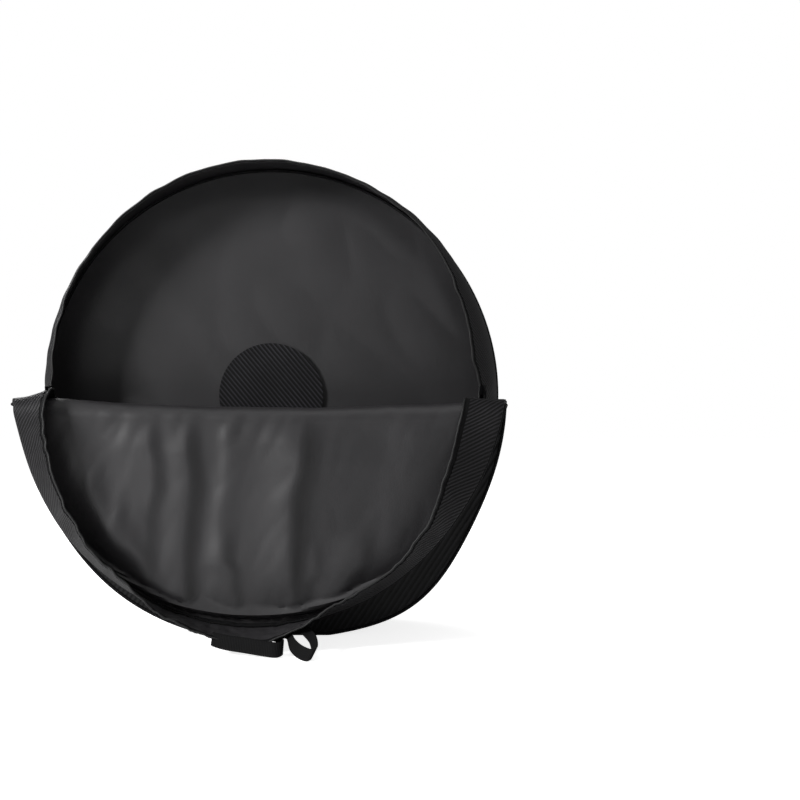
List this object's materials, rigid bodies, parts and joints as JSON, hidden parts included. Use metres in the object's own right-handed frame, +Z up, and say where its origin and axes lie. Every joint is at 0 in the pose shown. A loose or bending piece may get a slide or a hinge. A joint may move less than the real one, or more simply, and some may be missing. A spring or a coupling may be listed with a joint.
{
  "type": "bicycle wheel bag",
  "caption": "Round padded bag for a bicycle wheel, standing unzipped with the top half of its front folded down.",
  "frame": {"origin": "on the floor, in the middle of the flat that the bag stands on", "axes": "+Z up, -Y towards the open front, +X to the right as seen from the front"},
  "size_m": [0.755, 0.3283, 0.7463],
  "materials": {
    "ribbed_cloth": "ribbed woven polyester, dull black",
    "satin_lining": "smooth coated lining, dark grey with a soft sheen",
    "grey_foam": "closed-cell foam sheet",
    "woven_trim": "woven black trim and webbing",
    "zip_nylon": "black nylon coil on woven tape",
    "black_zinc": "black painted zinc"
  },
  "bodies": {
    "bag_body": {"back_panel_outer": "ribbed_cloth", "back_panel_foam": "grey_foam", "back_panel_lining": "satin_lining", "hub_patch": "ribbed_cloth", "back_piping": "woven_trim", "lower_front_outer": "ribbed_cloth", "lower_front_foam": "grey_foam", "lower_front_lining": "satin_lining", "lower_front_piping": "woven_trim", "lower_gusset_outer": "ribbed_cloth", "lower_gusset_lining": "satin_lining", "rear_gusset_outer": "ribbed_cloth", "rear_gusset_lining": "satin_lining", "body_zip": "zip_nylon", "back_seam_binding": "woven_trim", "lower_seam_binding": "woven_trim"},
    "fold": {"fold_outer": "ribbed_cloth", "fold_foam": "grey_foam", "fold_lining": "satin_lining", "fold_piping_right": "woven_trim", "fold_piping_left": "woven_trim"},
    "flap": {"flap_outer": "ribbed_cloth", "flap_foam": "grey_foam", "flap_lining": "satin_lining", "flap_piping": "woven_trim", "right_shoulder_strip_outer": "ribbed_cloth", "right_shoulder_strip_lining": "satin_lining", "right_shoulder_zip": "zip_nylon", "left_shoulder_strip_outer": "ribbed_cloth", "left_shoulder_strip_lining": "satin_lining", "left_shoulder_zip": "zip_nylon"},
    "right_corner": {"right_corner_strip_outer": "ribbed_cloth", "right_corner_strip_lining": "satin_lining", "right_corner_zip": "zip_nylon"},
    "left_corner": {"left_corner_strip_outer": "ribbed_cloth", "left_corner_strip_lining": "satin_lining", "left_corner_zip": "zip_nylon"},
    "right_side": {"right_side_strip_outer": "ribbed_cloth", "right_side_strip_lining": "satin_lining", "right_side_zip": "zip_nylon"},
    "left_side": {"left_side_strip_outer": "ribbed_cloth", "left_side_strip_lining": "satin_lining", "left_side_zip": "zip_nylon"},
    "crown": {"crown_strip_outer": "ribbed_cloth", "crown_strip_lining": "satin_lining", "crown_zip": "zip_nylon"},
    "right_mouth": {"zip_end_tab_right": "woven_trim"},
    "left_mouth": {"zip_end_tab_left": "woven_trim"},
    "right_slider": {"zip_slider_right": "black_zinc"},
    "right_pull": {"zip_pull_right": "black_zinc"},
    "left_slider": {"zip_slider_left": "black_zinc"},
    "left_pull": {"zip_pull_left": "black_zinc"},
    "carry_handle": {"carry_handle": "woven_trim"},
    "hang_loop": {"hang_loop": "woven_trim"}
  },
  "joints": [
    {"name": "flap_hinge", "type": "hinge", "parent": "fold", "child": "flap", "pos_m": [0, -0.1453, 0.36], "axis": [-1, 0, 0], "range_deg": [0, 90]},
    {"name": "fold_hinge", "type": "hinge", "parent": "bag_body", "child": "fold", "pos_m": [0, -0.0803, 0.36], "axis": [-1, 0, 0], "range_deg": [0, 90]},
    {"name": "right_corner_hinge", "type": "hinge", "parent": "fold", "child": "right_corner", "pos_m": [0.37063, -0.11303, 0.3682], "axis": [0.0639, 0.998, 0], "range_deg": [0, 90]},
    {"name": "left_corner_hinge", "type": "hinge", "parent": "fold", "child": "left_corner", "pos_m": [-0.37063, -0.11303, 0.3682], "axis": [0.0639, -0.998, 0], "range_deg": [0, 90]},
    {"name": "right_side_hinge", "type": "hinge", "parent": "flap", "child": "right_side", "pos_m": [0.33518, -0.1535, 0.27857], "axis": [0.3794, 0, 0.9252], "range_deg": [0, 80]},
    {"name": "left_side_hinge", "type": "hinge", "parent": "flap", "child": "left_side", "pos_m": [-0.33518, -0.1535, 0.27857], "axis": [0.3794, 0, -0.9252], "range_deg": [0, 55]},
    {"name": "crown_hinge", "type": "hinge", "parent": "flap", "child": "crown", "pos_m": [0, -0.1535, 0.0433], "axis": [-1, 0, 0], "range_deg": [0, 25]},
    {"name": "right_mouth_hinge", "type": "hinge", "parent": "bag_body", "child": "right_mouth", "pos_m": [0.375, 0.08, 0.369], "axis": [0, 0, 1], "range_deg": [0, 20.77]},
    {"name": "left_mouth_hinge", "type": "hinge", "parent": "bag_body", "child": "left_mouth", "pos_m": [-0.375, 0.08, 0.369], "axis": [0, 0, -1], "range_deg": [0, 20.77]},
    {"name": "right_slider_travel", "type": "hinge", "parent": "bag_body", "child": "right_slider", "pos_m": [0, -0.018, 0.399], "axis": [0, -1, 0], "range_deg": [0, 92.5]},
    {"name": "left_slider_travel", "type": "hinge", "parent": "bag_body", "child": "left_slider", "pos_m": [0, -0.018, 0.399], "axis": [0, 1, 0], "range_deg": [0, 92.5]},
    {"name": "right_pull_swing", "type": "hinge", "parent": "right_slider", "child": "right_pull", "pos_m": [0.34932, -0.018, 0.37562], "axis": [0, -1, 0], "range_deg": [0, 100]},
    {"name": "left_pull_swing", "type": "hinge", "parent": "left_slider", "child": "left_pull", "pos_m": [-0.34932, -0.018, 0.37562], "axis": [0, 1, 0], "range_deg": [0, 100]},
    {"name": "carry_handle_swing", "type": "hinge", "parent": "crown", "child": "carry_handle", "pos_m": [-0.00402, -0.17897, 0.02693], "axis": [0.9999, 0.0045, -0.0097], "range_deg": [0, 100]},
    {"name": "hang_loop_swing", "type": "hinge", "parent": "crown", "child": "hang_loop", "pos_m": [0.07201, -0.19071, 0.02846], "axis": [0.9816, -0.0806, 0.1729], "range_deg": [0, 100]}
  ],
  "couplings": [
    {"joint": "fold_hinge", "follows": "flap_hinge", "ratio": 1},
    {"joint": "right_corner_hinge", "follows": "flap_hinge", "ratio": 1},
    {"joint": "left_corner_hinge", "follows": "flap_hinge", "ratio": 1},
    {"joint": "right_side_hinge", "follows": "flap_hinge", "ratio": 0.88889},
    {"joint": "left_side_hinge", "follows": "flap_hinge", "ratio": 0.61111},
    {"joint": "crown_hinge", "follows": "flap_hinge", "ratio": 0.27778},
    {"joint": "right_mouth_hinge", "follows": "flap_hinge", "ratio": 0.23078},
    {"joint": "left_mouth_hinge", "follows": "flap_hinge", "ratio": 0.23078}
  ]
}
